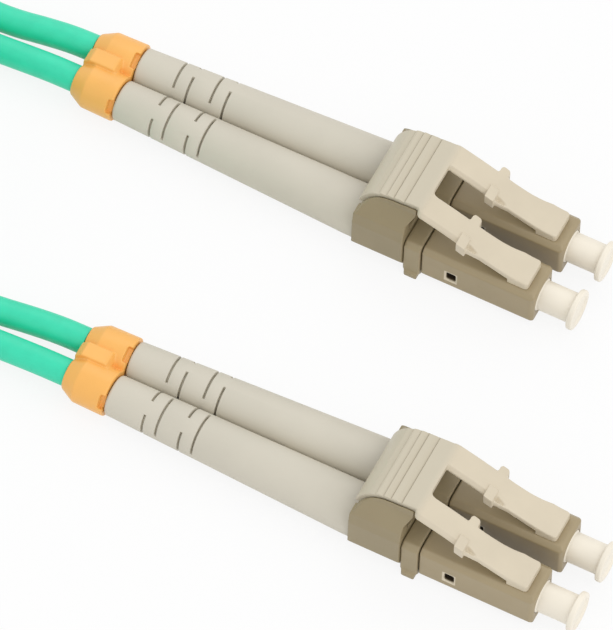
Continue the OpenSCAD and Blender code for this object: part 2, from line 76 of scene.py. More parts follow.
# Places in a plug's or an end's frame, in millimetres, as the CAD parts have them
FRAME_TOP, FRAME_CHAMFER = 2.26, 0.5
WINDOW_X, WINDOW_Z, WINDOW_L, WINDOW_H = -8.9, -0.3, 1.0, 1.2
BOOT_X, BOOT_DY, BOOT_LEAN = -17.15, 2.8, 1.311
BOOT_ROLL = {"right": 20, "left": 68}
SLOT_FLOOR_R = 1.72
CLIP_START = 29.6
NOTCH_TURN = {"right": 62, "left": 20}
ARM_ROOT_X, ARM_FRONT_X, FOOT_X = -12.75, -1.0, -3.2
ARM_ROOT_H, ARM_FRONT_H, ARM_SAG = 7.42, 3.2, 4.6
COVER_CREST_X, COVER_CREST_H, COVER_H = -16.0, 7.3, 7.5
COVER_BACK_L, COVER_BACK_H, COVER_LIP_H = 3.9, 4.6, 4.2
STEP_X = (-17.5, -16.65, -15.85, -14.7)
MOUTH_R, MOUTH_DEPTH = 1.75, 0.6

# Voxels in millimetres that each mould is melted in
PLUG_VOXEL, HOLDER_VOXEL, CLIP_VOXEL, LATCH_VOXEL = 0.1, 0.09, 0.075, 0.068


# ---------------------------------------------------------------- places from the frame
def node_box(node):
    """Lowest and highest corner of a CAD node."""
    low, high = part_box(node)
    return Vector(low), Vector(high)


def end_origin(end):
    """The point midway between both plug axes, at the frames' front faces."""
    corners = [node_box(f"{end}_{side}_plug_frame") for side in SIDES]
    low = (corners[0][0] + corners[1][0]) / 2
    high = (corners[0][1] + corners[1][1]) / 2
    return Vector((high.x, (low.y + high.y) / 2, (low.z + high.z) / 2))


ORIGIN = {end: end_origin(end) for end in ENDS}
PITCH = round((node_box("a_left_plug_frame")[0].y - node_box("a_right_plug_frame")[0].y) / MM, 2)


def place(end, side=None):
    """Takes millimetres in an end's frame, or in one of its plugs', to metres."""
    shift = Vector((0, SIDES[side] * PITCH / 2 if side else 0, 0))
    return Matrix.Translation(ORIGIN[end]) @ Matrix.Scale(MM, 4) @ Matrix.Translation(shift)


# ---------------------------------------------------------------- sizes and colours
def size(name, description, mm):
    """A length property with its default in millimetres."""
    return FloatProperty(name=name, description=description, default=mm * MM, min=0,
                         unit="LENGTH", precision=5)


def tint(name, description, red, green, blue):
    """A colour property with its default as it is seen, from 0 to 255."""
    return FloatVectorProperty(name=name, description=description, subtype="COLOR_GAMMA",
                               size=3, min=0, max=1,
                               default=(red / 255, green / 255, blue / 255))


def degrees(name, description, value):
    """An angle property with its default in degrees."""
    return FloatProperty(name=name, description=description, subtype="ANGLE",
                         default=math.radians(value))


def amount(name, description, value, most=10):
    """A plain number from nought up."""
    return FloatProperty(name=name, description=description, default=value, min=0, max=most)


class PatchStageSettings(bpy.types.PropertyGroup):
    """Camera, lamps and floor."""
    distance: size("Distance", "Camera distance from the point it looks at", 1000)
    target: FloatVectorProperty(name="Target", description="Point that the camera looks at",
                                subtype="XYZ", unit="LENGTH", size=3, precision=5,
                                default=(-3.0 * MM, -0.65 * MM, 2.75 * MM))
    focal: FloatProperty(name="Focal length", description="Focal length in picture pixels",
                         default=10324, min=100)
    azimuth: degrees("Azimuth", "Camera's bearing round the object", 25.2)
    elevation: degrees("Elevation", "Camera's height above the horizon", 58.1)
    roll: degrees("Roll", "Turn of the camera about its own axis", 2.1)
    key: amount("Key lamp", "Power of the large lamp ahead", 2.2)
    fill: amount("Fill lamp", "Power of the lamp at the back left", 1)
    sky: amount("Sky", "Strength of the even light from all round", 0.85)
    lift: amount("Floor lift", "Share of plain white in the seen floor", 0.86, 1)
    floor: tint("Floor", "Colour of the floor", 242, 242, 242)


class PatchPlugSettings(bpy.types.PropertyGroup):
    """Plug frames, back bodies and holders."""
    frame: tint("Frame", "Colour of the plug frames", 163, 147, 115)
    # Painted highlight: a lighter colour round the edge of the frame's side window
    painted_window_highlight: tint("Window rim", "Colour of the edge of the frame's window", 214, 202, 178)
    # Painted shade: a dark colour on the walls inside the plug frames
    hollow: tint("Hollow", "Colour inside the plug frames", 62, 50, 36)
    collar: tint("Collar", "Colour of the back bodies", 160, 145, 113)
    holder: tint("Holder", "Colour of the duplex holders", 151, 137, 106)


class PatchCapSettings(bpy.types.PropertyGroup):
    """Dust caps."""
    tube_d: size("Tube", "Diameter of the cap's tube", 3.1)
    flange_d: size("Flange", "Diameter of the finger flange", 4.2)
    flange_t: size("Flange thickness", "Thickness of the finger flange", 0.6)
    reach: size("Reach", "Reach of the cap past the frame", 4)
    colour: tint("Cap", "Colour of the dust caps", 240, 232, 216)


class PatchBootSettings(bpy.types.PropertyGroup):
    """Strain relief boots."""
    length: size("Length", "Length of a boot", 29.5)
    front_d: size("Front diameter", "Diameter where the boot leaves the holder", 5.4)
    tail_d: size("Tail diameter", "Diameter at the boot's tail", 4.2)
    slot_w: size("Slot width", "Width of a flex slot", 0.25)
    slot_start: size("First slot", "Distance of the first slot from the tail", 4.1)
    slot_step: size("Slot step", "Distance between the two slots of a pair", 1.5)
    slot_pitch: size("Slot pitch", "Distance between the pairs of slots", 4)
    slot_arc: degrees("Slot arc", "Arc of one flex slot", 138)
    colour: tint("Boot", "Colour of the boots", 208, 202, 187)


class PatchClipSettings(bpy.types.PropertyGroup):
    """Clips that tie the boot tails."""
    length: size("Length", "Length of the clip", 4.8)
    lobe_d: size("Lobe", "Diameter of the clip round a strand", 4.7)
    rib_w: size("Rib", "Width of the middle rib", 1.7)
    colour: tint("Clip", "Colour of the boot clips", 247, 183, 95)


class PatchLatchSettings(bpy.types.PropertyGroup):
    """Thumb covers and latch arms."""
    arm_t: size("Arm thickness", "Thickness of a latch arm", 0.68)
    cover_w: size("Cover width", "Width of the thumb cover", 8.2)
    cover_t: size("Cover thickness", "Wall thickness of the thumb cover", 0.7)
    step_h: size("Step", "Height of the steps between the cover's plates", 0.16)
    colour: tint("Latch", "Colour of the latch", 212, 200, 177)
    # Painted shade: a darker copy of the latch colour for the ribbed cover, which is the same
    # moulding as the arms
    cover: tint("Cover", "Colour of the ribbed thumb cover", 200, 191, 170)


class PatchCordSettings(bpy.types.PropertyGroup):
    """Strands, coil and strap."""
    cable_d: size("Strand diameter", "Outer diameter of one strand", 2.8)
    coil_turns: IntProperty(name="Turns", description="Turns in each layer of the coil",
                            default=4, min=1, max=4)
    coil_out_r: size("Coil radius", "Radius of the outermost turn at its centre line", 24)
    turn_gap: size("Turn gap", "Clear gap between neighbouring turns", 0.45)
    coil_dip: size("Dip", "How far the coil draws in where its spiral reverses", 0.6)
    coil_z: size("Coil height", "Height of the lowest turn's centre line", 2.4)
    jacket: tint("Jacket", "Colour of the strands", 52, 218, 176)
    strap_t: size("Strap thickness", "Thickness of the woven strap", 0.38)
    strap: tint("Strap", "Colour of the coil strap", 38, 38, 41)


class PatchInnerSettings(bpy.types.PropertyGroup):
    """Parts inside the plugs and boots."""
    ceramic: tint("Ceramic", "Colour of the ferrules", 240, 240, 236)
    flange: tint("Flange", "Colour of the ferrule flanges", 196, 198, 202)
    spring: tint("Spring", "Colour of the ferrule springs", 206, 208, 212)
    crimp: tint("Crimp", "Colour of the crimp sleeves", 214, 210, 198)
    buffer: tint("Buffer", "Colour of the buffered fibres", 60, 196, 168)


GROUPS = {"patch_stage": PatchStageSettings, "patch_plug": PatchPlugSettings,
          "patch_cap": PatchCapSettings, "patch_boot": PatchBootSettings,
          "patch_clip": PatchClipSettings, "patch_latch": PatchLatchSettings,
          "patch_cord": PatchCordSettings, "patch_inner": PatchInnerSettings}


# ---------------------------------------------------------------- materials
def linear(colour):
    """A seen colour as the linear values that a shader takes."""
    return [c / 12.92 if c <= 0.04045 else ((c + 0.055) / 1.055) ** 2.4 for c in colour]


class Finish:
    """A material under construction: one Principled shader and what feeds it."""

    def __init__(self, name, roughness, specular=0.5):
        self.material = bpy.data.materials.new(name)
        self.material.use_nodes = True
        self.nodes = self.material.node_tree.nodes
        self.shader = self.nodes["Principled BSDF"]
        self.shader.inputs["Roughness"].default_value = roughness
        self.shader.inputs["Specular IOR Level"].default_value = specular
        self.coords = self.nodes.new("ShaderNodeTexCoord")

    def link(self, source, target):
        self.material.node_tree.links.new(source, target)

    def noise(self, scale, detail=2.0, stretch=(1, 1, 1)):
        """Noise over the object, with its scale in cells per metre."""
        mapping = self.nodes.new("ShaderNodeMapping")
        mapping.inputs["Scale"].default_value = stretch
        texture = self.nodes.new("ShaderNodeTexNoise")
        texture.inputs["Scale"].default_value = scale
        texture.inputs["Detail"].default_value = detail
        self.link(self.coords.outputs["Object"], mapping.inputs["Vector"])
        self.link(mapping.outputs["Vector"], texture.inputs["Vector"])
        return texture.outputs["Fac"]

    def ramp(self, source, low, high, start=0.3, stop=0.7):
        """Runs from one colour to another as the source goes from start to stop."""
        node = self.nodes.new("ShaderNodeValToRGB")
        node.color_ramp.elements[0].position = start
        node.color_ramp.elements[1].position = stop
        node.color_ramp.elements[0].color = (*low, 1)
        node.color_ramp.elements[1].color = (*high, 1)
        self.link(source, node.inputs["Fac"])
        return node.outputs["Color"]

    def mottle(self, colour, spread, scale, stretch=(1, 1, 1)):
        """Base colour that wanders a little lighter and darker."""
        base = linear(colour)
        low = [c * (1 - spread) for c in base]
        high = [min(1.0, c * (1 + spread)) for c in base]
        source = self.noise(scale, 3.0, stretch)
        self.base = self.ramp(source, low, high)
        self.link(self.base, self.shader.inputs["Base Color"])

    def overlay(self, colour, mark):
        """Another colour where that mark of the mesh is set."""
        where = self.nodes.new("ShaderNodeAttribute")
        where.attribute_name = mark
        mix = self.nodes.new("ShaderNodeMix")
        mix.data_type = "RGBA"
        factor, first, second = mix.inputs[0], mix.inputs[6], mix.inputs[7]
        self.link(where.outputs["Fac"], factor)
        self.link(self.base, first)
        second.default_value = (*linear(colour), 1)
        self.base = mix.outputs[2]
        self.link(self.base, self.shader.inputs["Base Color"])

    def bump(self, source, height, strength):
        """Relief of that height in metres."""
        node = self.nodes.new("ShaderNodeBump")
        node.inputs["Distance"].default_value = height
        node.inputs["Strength"].default_value = strength
        self.link(source, node.inputs["Height"])
        self.link(node.outputs["Normal"], self.shader.inputs["Normal"])

    def vary_roughness(self, source, low, high):
        node = self.nodes.new("ShaderNodeMapRange")
        node.inputs["To Min"].default_value = low
        node.inputs["To Max"].default_value = high
        self.link(source, node.inputs["Value"])
        self.link(node.outputs["Result"], self.shader.inputs["Roughness"])


def plastic(name, colour, roughness, **overlays):
    """Moulded plastic: fine grain, a little uneven in tone and gloss."""
    finish = Finish(name, roughness)
    finish.mottle(colour, 0.03, 260)
    for mark, other in overlays.items():
        finish.overlay(other, mark)
    finish.vary_roughness(finish.noise(900), roughness - 0.06, roughness + 0.08)
    finish.bump(finish.noise(7000), 0.000004, 0.5)
    return finish.material


def rubber(name, colour):
    """Soft matt boot compound with a faint skin texture."""
    finish = Finish(name, 0.58, specular=0.35)
    finish.mottle(colour, 0.025, 180)
    finish.vary_roughness(finish.noise(700), 0.5, 0.66)
    finish.bump(finish.noise(4500, 3.0), 0.000008, 0.5)
    return finish.material


def metal(name, colour, roughness):
    """Drawn or turned metal with fine marks along its axis."""
    finish = Finish(name, roughness)
    finish.shader.inputs["Metallic"].default_value = 1
    finish.mottle(colour, 0.05, 1500, (0.2, 1, 1))
    finish.bump(finish.noise(5000, 2.0, (0.1, 1, 1)), 0.000003, 0.4)
    return finish.material


def weave(name, colour):
    """Narrow woven tape, with its threads along and across the piece's own UV map."""
    finish = Finish(name, 0.85, specular=0.2)
    finish.shader.inputs["Sheen Weight"].default_value = 0.25
    threads = []
    for direction, scale in (("X", 0.7), ("Y", 0.9)):
        wave = finish.nodes.new("ShaderNodeTexWave")
        wave.bands_direction = direction
        wave.inputs["Scale"].default_value = scale
        wave.inputs["Distortion"].default_value = 0.3
        finish.link(finish.coords.outputs["UV"], wave.inputs["Vector"])
        threads.append(wave.outputs["Fac"])
    cloth = finish.nodes.new("ShaderNodeMath")
    cloth.operation = "MULTIPLY"
    for source, target in zip(threads, cloth.inputs):
        finish.link(source, target)
    # The threads' colour runs from painted shade between them to a painted highlight on their tops
    base = linear(colour)
    shade = [c * 0.45 for c in base]
    high = [c * 1.5 for c in base]
    finish.link(finish.ramp(cloth.outputs[0], shade, high, 0.05, 0.8),
                finish.shader.inputs["Base Color"])
    finish.bump(cloth.outputs[0], 0.00008, 0.8)
    return finish.material


def jacket_finish(colour):
    """Extruded jacket: satin, with faint streaks along the strand."""
    finish = Finish("jacket", 0.42)
    finish.mottle(colour, 0.04, 700)
    finish.bump(finish.noise(2600), 0.00002, 0.3)
    return finish.material


# ---------------------------------------------------------------- mesh helpers
PLANES = {"X": (1, 2, 0), "Y": (0, 2, 1), "Z": (0, 1, 2)}
WELD = 0.0001
SHARP_ANGLE = math.radians(35)


def prism(shape, outline, axis, start, stop):
    """Draws an outline of the two other coordinates out along an axis, as a closed form."""
    first, second, along = PLANES[axis]
    corners = []
    for a, b in outline:
        spot = Vector()
        spot[first], spot[second], spot[along] = a, b, start
        corners.append(shape.verts.new(spot))
    face = shape.faces.new(corners)
    drawn = bmesh.ops.extrude_face_region(shape, geom=[face])["geom"]
    moved = [item for item in drawn if isinstance(item, bmesh.types.BMVert)]
    shift = Vector()
    shift[along] = stop - start
    bmesh.ops.translate(shape, verts=moved, vec=shift)
    skin = list({face for vert in corners + moved for face in vert.link_faces})
    bmesh.ops.recalc_face_normals(shape, faces=skin)


def spun(shape, outline, steps=96):
    """Turns an outline of (x, radius) once round the X axis, as a closed form."""
    spots = [shape.verts.new((x, 0, r)) for x, r in outline]
    pairs = list(zip(spots, spots[1:]))
    if outline[0][1] > 0 and outline[-1][1] > 0:
        pairs.append((spots[-1], spots[0]))
    lines = [shape.edges.new(pair) for pair in pairs]
    bmesh.ops.spin(shape, geom=spots + lines, cent=(0, 0, 0), axis=(1, 0, 0),
                   angle=math.tau, steps=steps, use_merge=True, use_duplicate=False)
    bmesh.ops.remove_doubles(shape, verts=shape.verts[:], dist=WELD)
    bmesh.ops.recalc_face_normals(shape, faces=shape.faces[:])


def loft(shape, sections):
    """Joins a row of like rings of points into one closed form."""
    rings = []
    for section in sections:
        spots = [shape.verts.new(point) for point in section]
        rings.append([shape.edges.new(pair) for pair in zip(spots, spots[1:] + spots[:1])])
    for one, two in zip(rings, rings[1:]):
        bmesh.ops.bridge_loops(shape, edges=one + two)
    for ring in (rings[0], rings[-1]):
        bmesh.ops.contextual_create(shape, geom=ring)
    bmesh.ops.recalc_face_normals(shape, faces=shape.faces[:])


def rod(shape, start, stop, radius, steps=96):
    """A round closed form along the X axis."""
    spun(shape, [(start, 0), (start, radius), (stop, radius), (stop, 0)], steps)


def mesh_of(shape):
    """The finished mesh of a shape, which is used up."""
    mesh = bpy.data.meshes.new("form")
    shape.to_mesh(mesh)
    shape.free()
    return mesh


def add_copy(shape, part, matrix):
    """Adds a turned or moved copy of a mesh to a shape."""
    copy = part.copy()
    copy.transform(matrix)
    shape.from_mesh(copy)
    bpy.data.meshes.remove(copy)


def node_shape(node, home):
    """A CAD node's form, merged, in the millimetres of its own frame."""
    shape = bmesh.new()
    shape.from_mesh(frame["nodes"][node].data)
    bmesh.ops.transform(shape, matrix=home.inverted(), verts=shape.verts[:])
    bmesh.ops.remove_doubles(shape, verts=shape.verts[:], dist=WELD)
    return shape


def new_object(name, data):
    """An object in the scene that holds this data."""
    item = bpy.data.objects.new(name, data)
    bpy.context.scene.collection.objects.link(item)
    return item


class Mould:
    """Melts overlapping forms into one skin with soft edges, and cuts it."""

    def __init__(self, shape, voxel):
        self.work = new_object("mould", mesh_of(shape))
        self.cutters = []
        self.skin(voxel)

    def skin(self, voxel):
        step = self.work.modifiers.new("skin", "REMESH")
        step.mode = "VOXEL"
        step.voxel_size = voxel

    def soften(self, rounds):
        step = self.work.modifiers.new("soften", "SMOOTH")
        step.factor = 0.5
        step.iterations = rounds

    def cut(self, shape):
        cutter = new_object("mould", mesh_of(shape))
        self.cutters.append(cutter)
        step = self.work.modifiers.new("cut", "BOOLEAN")
        step.operation = "DIFFERENCE"
        step.solver = "MANIFOLD"
        step.object = cutter

    def done(self):
        """The finished mesh; what made it is taken out of the scene."""
        bpy.context.view_layer.update()
        graph = bpy.context.evaluated_depsgraph_get()
        mesh = bpy.data.meshes.new_from_object(self.work.evaluated_get(graph))
        for item in [self.work] + self.cutters:
            bpy.data.objects.remove(item)
        if not mesh.polygons:
            raise RuntimeError("a mould came out empty")
        return mesh


def add_piece(name, data, material, body):
    """Puts a finished mesh or curve into the scene; a piece that is blended has no body."""
    piece = new_object(name, data)
    data.materials.clear()
    data.materials.append(material)
    if body:
        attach(piece, body)
    return piece


def set_mark(mesh, name, weight):
    """Writes a number from 0 to 1 to each point of a mesh, for a material to read."""
    values = [max(0.0, min(1.0, weight(vert.co))) for vert in mesh.vertices]
    mesh.attributes.new(name, "FLOAT", "POINT").data.foreach_set("value", values)


def put(name, form, home, material, body, nodes):
    """Sets a copy of a finished form in the place of its CAD nodes."""
    mesh = form.copy()
    mesh.name = name
    mesh.transform(home)
    mesh.shade_smooth()
    mesh.set_sharp_from_angle(angle=SHARP_ANGLE)
    piece = add_piece(name, mesh, material, body)
    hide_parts(*nodes)
    return piece


def put_in_plugs(name, form, material, node, body=None):
    """Sets a form in each of the four plugs, fixed or on its plug's own body."""
    for end, side in PLUGS:
        plug = f"{end}_{side}_"
        put(plug + name, form, place(end, side), material, plug + body if body else "root",
            [plug + node])


def put_at_ends(name, form, material, node):
    """Sets a form in the place of a fixed node of both ends."""
    for end in ENDS:
        put(f"{end}_{name}", form, place(end), material, "root", [f"{end}_{node}"])


def arc(centre, radius, start, stop, steps):
    """Points of a circle's arc, with its angles in degrees."""
    turns = [math.radians(start + (stop - start) * i / steps) for i in range(steps + 1)]
    return [(centre[0] + radius * math.cos(t), centre[1] + radius * math.sin(t)) for t in turns]


# ---------------------------------------------------------------- plug frames and back bodies
class PATCH_OT_plug_frames(bpy.types.Operator):
    """Soften the edges of the four square plug frames"""
    bl_idname = "patch.plug_frames"
    bl_label = "Plug frames"

    def execute(self, context):
        settings = context.scene.patch_plug
        material = plastic("frame_plastic", settings.frame, 0.42,
                           rim=settings.painted_window_highlight, hollow=settings.hollow)
        shape = node_shape("a_right_plug_frame", place("a", "right"))
        rod(shape, -MOUTH_DEPTH, 0, MOUTH_R + 0.1)
        mould = Mould(shape, PLUG_VOXEL)
        mould.soften(5)
        mouth = bmesh.new()
        rod(mouth, -MOUTH_DEPTH - 0.2, 1, MOUTH_R)
        mould.cut(mouth)
        form = mould.done()
        # Painted highlight round the side window
        set_mark(form, "rim", self.rim)
        # Painted shade on the walls of the cavity and of the window
        set_mark(form, "hollow", self.hollow)
        put_in_plugs("frame_shell", form, material, "plug_frame")
        return {"FINISHED"}

    def rim(self, spot):
        """Painted highlight on the edge of the small window in the frame's sides."""
        reach = max(abs(spot.x - WINDOW_X) - WINDOW_L / 2, abs(spot.z - WINDOW_Z) - WINDOW_H / 2)
        return (0.24 - reach) / 0.08 if abs(spot.y) > FRAME_TOP - 0.2 else 0

    def hollow(self, spot):
        """Painted shade on the walls of the spring cavity and of the window."""
        y, z = abs(spot.y), abs(spot.z)
        depth = min(FRAME_TOP - max(y, z), (2 * FRAME_TOP - FRAME_CHAMFER - y - z) / 1.41)
        return (depth - 0.12) / 0.15 if spot.x < -5.5 else 0


class PATCH_OT_back_bodies(bpy.types.Operator):
    """Soften the collars, feet and posts behind the plug frames"""
    bl_idname = "patch.back_bodies"
    bl_label = "Back bodies"

    def execute(self, context):
        settings = context.scene.patch_plug
        material = plastic("body_plastic", settings.collar, 0.45)
        mould = Mould(node_shape("a_right_back_body", place("a", "right")), PLUG_VOXEL)
        mould.soften(5)
        put_in_plugs("collar", mould.done(), material, "back_body")
        return {"FINISHED"}


# ---------------------------------------------------------------- dust caps
class PATCH_OT_dust_caps(bpy.types.Operator):
    """Turn the four dust caps with their finger flanges"""
    bl_idname = "patch.dust_caps"
    bl_label = "Dust caps"

    def execute(self, context):
        settings = context.scene.patch_cap
        material = plastic("cap_plastic", settings.colour, 0.38)
        put_in_plugs("cap", self.form(settings), material, "dust_cap", "cap")
        return {"FINISHED"}

    def form(self, settings):
        tube, flange = settings.tube_d / MM / 2, settings.flange_d / MM / 2
        reach, thick = settings.reach / MM, settings.flange_t / MM
        depth, bore, bore_end, edge, rim, dish = 2, 0.725, 2.7, 0.16, 0.5, 0.14
        back = reach - thick
        fillet = flange - tube - 0.2
        seat = tube + 0.15
        outline = [(bore_end, 0), (bore_end, bore), (-depth, bore)]
        outline += arc((edge - depth, seat - edge), edge, 180, 90, 4)
        outline += [(-0.02, seat), (0.04, tube + 0.05), (0.1, tube)]
        outline += arc((back - fillet, tube + fillet), fillet, 270, 345, 6)
        outline += arc((back + edge, flange - edge), edge, 180, 90, 4)
        outline += arc((reach - edge, flange - edge), edge, 90, 0, 4)
        outline += [(reach, flange - rim), (reach - dish, flange - rim - 0.2), (reach - dish, 0)]
        shape = bmesh.new()
        spun(shape, outline)
        return mesh_of(shape)


# ---------------------------------------------------------------- boots
def tail(side):
    """The leaning frame of a boot within its end's frame."""
    sign = SIDES[side]
    return (Matrix.Translation((BOOT_X, sign * BOOT_DY, 0))
            @ Matrix.Rotation(sign * math.radians(BOOT_LEAN), 4, "Z"))


class PATCH_OT_boots(bpy.types.Operator):
    """Turn the four slotted strain relief boots"""
    bl_idname = "patch.boots"
    bl_label = "Boots"

    def execute(self, context):
        settings = context.scene.patch_boot
        material = rubber("boot_rubber", settings.colour)
        for side, roll in BOOT_ROLL.items():
            form = self.form(settings, roll)
            for end in ENDS:
                put(f"{end}_{side}_strain_relief", form, place(end) @ tail(side), material,
                    "root", [f"{end}_{side}_boot"])
        return {"FINISHED"}

    def form(self, settings, roll):
        length, edge, straight = settings.length / MM, 0.3, 3.5
        front, rear = settings.front_d / MM / 2, settings.tail_d / MM / 2
        seat_l, seat_r, bore_r = 5.2, 2.2, 1.5
        width = settings.slot_w / MM
        places = [settings.slot_start / MM + pair * settings.slot_pitch / MM
                  + half * settings.slot_step / MM for pair in (0, 1) for half in (0, 1)]
        rings = sorted(x - length + side for x in places for side in (0, width))

        def radius(x):
            share = (-x - straight) / (length - edge - straight)
            return front + (rear - front) * max(0, min(1, share))

        outline = [(0, seat_r)]
        outline += arc((-edge, front - edge), edge, 0, 90, 5)
        outline.append((-straight, front))
        outline += [(x, radius(x)) for x in reversed(rings)]
        outline += arc((edge - length, rear - edge), edge, 90, 180, 5)
        outline += [(-length, bore_r), (-seat_l, bore_r), (-seat_l, seat_r)]
        shape = bmesh.new()
        spun(shape, outline)
        for i, x in enumerate(places):
            turn = roll + (90 if i % 2 == 0 else 0)
            self.slot(shape, settings, x - length, x - length + width, turn)
        rim = [line for line in shape.edges if self.on_rim(line, rings)]
        bmesh.ops.bevel(shape, geom=rim, offset=0.06, offset_type="OFFSET", segments=2,
                        profile=0.5, affect="EDGES", material=-1, clamp_overlap=True)
        return mesh_of(shape)

    def slot(self, shape, settings, low, high, turn):
        """Sinks two facing arcs of one ring of faces down to the skin over the bore."""
        half_arc = math.degrees(settings.slot_arc) / 2
        for start in (turn, turn + 180):
            sunk = []
            for face in shape.faces:
                spot = face.calc_center_median()
                if not low < spot.x < high or math.hypot(spot.y, spot.z) < SLOT_FLOOR_R:
                    continue
                angle = math.degrees(math.atan2(-spot.y, spot.z))
                if abs((angle - start + 180) % 360 - 180) < half_arc:
                    sunk.append(face)
            drawn = bmesh.ops.extrude_face_region(shape, geom=sunk)["geom"]
            bmesh.ops.delete(shape, geom=sunk, context="FACES")
            for vert in drawn:
                if isinstance(vert, bmesh.types.BMVert):
                    shrink = SLOT_FLOOR_R / math.hypot(vert.co.y, vert.co.z)
                    vert.co.y *= shrink
                    vert.co.z *= shrink

    def on_rim(self, edge, rings):
        """Whether an edge is where a slot breaks the boot's surface."""
        ends = [vert.co for vert in edge.verts]
        outside = all(math.hypot(co.y, co.z) > SLOT_FLOOR_R + 0.1 for co in ends)
        within = all(rings[0] - WELD < co.x < rings[-1] + WELD for co in ends)
        return outside and within and edge.calc_face_angle(0) > math.radians(50)


# ---------------------------------------------------------------- boot clips
class PATCH_OT_boot_clips(bpy.types.Operator):
    """Mould the clip that ties the boot tails at each end"""
    bl_idname = "patch.boot_clips"
    bl_label = "Boot clips"

    def execute(self, context):
        settings = context.scene.patch_clip
        material = plastic("clip_plastic", settings.colour, 0.36)
        put_at_ends("tail_clip", self.form(settings), material, "boot_clip")
        return {"FINISHED"}

    def form(self, settings):
        front = -CLIP_START
        back = front - settings.length / MM
        r, taper = settings.lobe_d / MM / 2, 1.5
        lobe = bmesh.new()
        spun(lobe, [(front, 0), (front, r), (back + taper, r), (back, r - 0.75), (back, 0)])
        lobe = mesh_of(lobe)
        shape = bmesh.new()
        for side in SIDES:
            add_copy(shape, lobe, tail(side))
        rib_x = BOOT_X + back * math.cos(math.radians(BOOT_LEAN))
        rib_l, slope, half = 3.7, 0.7, settings.rib_w / MM / 2
        top = r + 0.05
        prism(shape, [(rib_x, -r / 2), (rib_x, top - slope), (rib_x + slope, top),
                      (rib_x + rib_l - slope / 2, top), (rib_x + rib_l, top - slope),
                      (rib_x + rib_l, -r / 2)], "Y", -half, half)
        mould = Mould(shape, CLIP_VOXEL)
        notches, bores = bmesh.new(), bmesh.new()
        notch, bore = bmesh.new(), bmesh.new()
        wide, floor_r, past, bore_r = 0.8, 1.6, 3, 1.5
        prism(notch, [(-wide, floor_r), (wide, floor_r), (wide, past), (-wide, past)], "X",
              front - 0.5, front + 1)
        rod(bore, front + 1, back - 1, bore_r, 64)
        notch, bore = mesh_of(notch), mesh_of(bore)
        for side, turn in NOTCH_TURN.items():
            turned = Matrix.Rotation(math.radians(turn), 4, "X")
            add_copy(notches, notch, tail(side) @ turned)
            add_copy(bores, bore, tail(side))
        mould.cut(notches)
        mould.skin(CLIP_VOXEL)
        mould.soften(6)
        mould.cut(bores)
        return mould.done()


# ---------------------------------------------------------------- holders
class PATCH_OT_holders(bpy.types.Operator):
    """Soften the holders that grip both back bodies of each end"""
    bl_idname = "patch.holders"
    bl_label = "Holders"

    def execute(self, context):
        settings = context.scene.patch_plug
        material = plastic("holder_plastic", settings.holder, 0.4)
        shape = node_shape("a_duplex_holder", place("a"))
        for side in SIDES.values():
            wall = [(4.2, 4.2), (5.46, 4.2), (4.36, 6.2), (4.35, 6.98), (4.2, 6.98)]
            tip = [(4.2, 6.0), (4.46, 6.0), (4.36, 6.2), (4.35, 7.0), (4.2, 7.0)]
            loft(shape, [[(-14.3, side * y, z) for y, z in wall],
                         [(-13.4, side * y, z) for y, z in tip]])
        mould = Mould(shape, HOLDER_VOXEL)
        mould.soften(5)
        put_at_ends("holder", mould.done(), material, "duplex_holder")
        return {"FINISHED"}


# ---------------------------------------------------------------- latches
def arm_top(x):
    """Height of a latch arm's top, x millimetres ahead of its frame's front."""
    share = max(0, min(1, (x - ARM_ROOT_X) / (ARM_FRONT_X - ARM_ROOT_X)))
    line = ARM_ROOT_H + (ARM_FRONT_H - ARM_ROOT_H) * share
    return line - ARM_SAG * share ** 3 * (1 - share)


def cover_top(x):
    """Height of the thumb cover: a quarter of an ellipse, then a slope to its front."""
    if x < COVER_CREST_X:
        fall = 1 - math.sqrt(1 - ((COVER_CREST_X - x) / COVER_BACK_L) ** 2)
        return COVER_CREST_H - COVER_BACK_H * fall
    share = (x - COVER_CREST_X) / (ARM_ROOT_X - COVER_CREST_X)
    return COVER_CREST_H + (COVER_H - COVER_CREST_H) * share


def between(x, places):
    """Values at x on lines through (x, values) places."""
    for (x0, one), (x1, two) in zip(places, places[1:]):
        if x <= x1:
            share = max(0, (x - x0) / (x1 - x0))
            return tuple(a + (b - a) * share for a, b in zip(one, two))
    return places[-1][1]


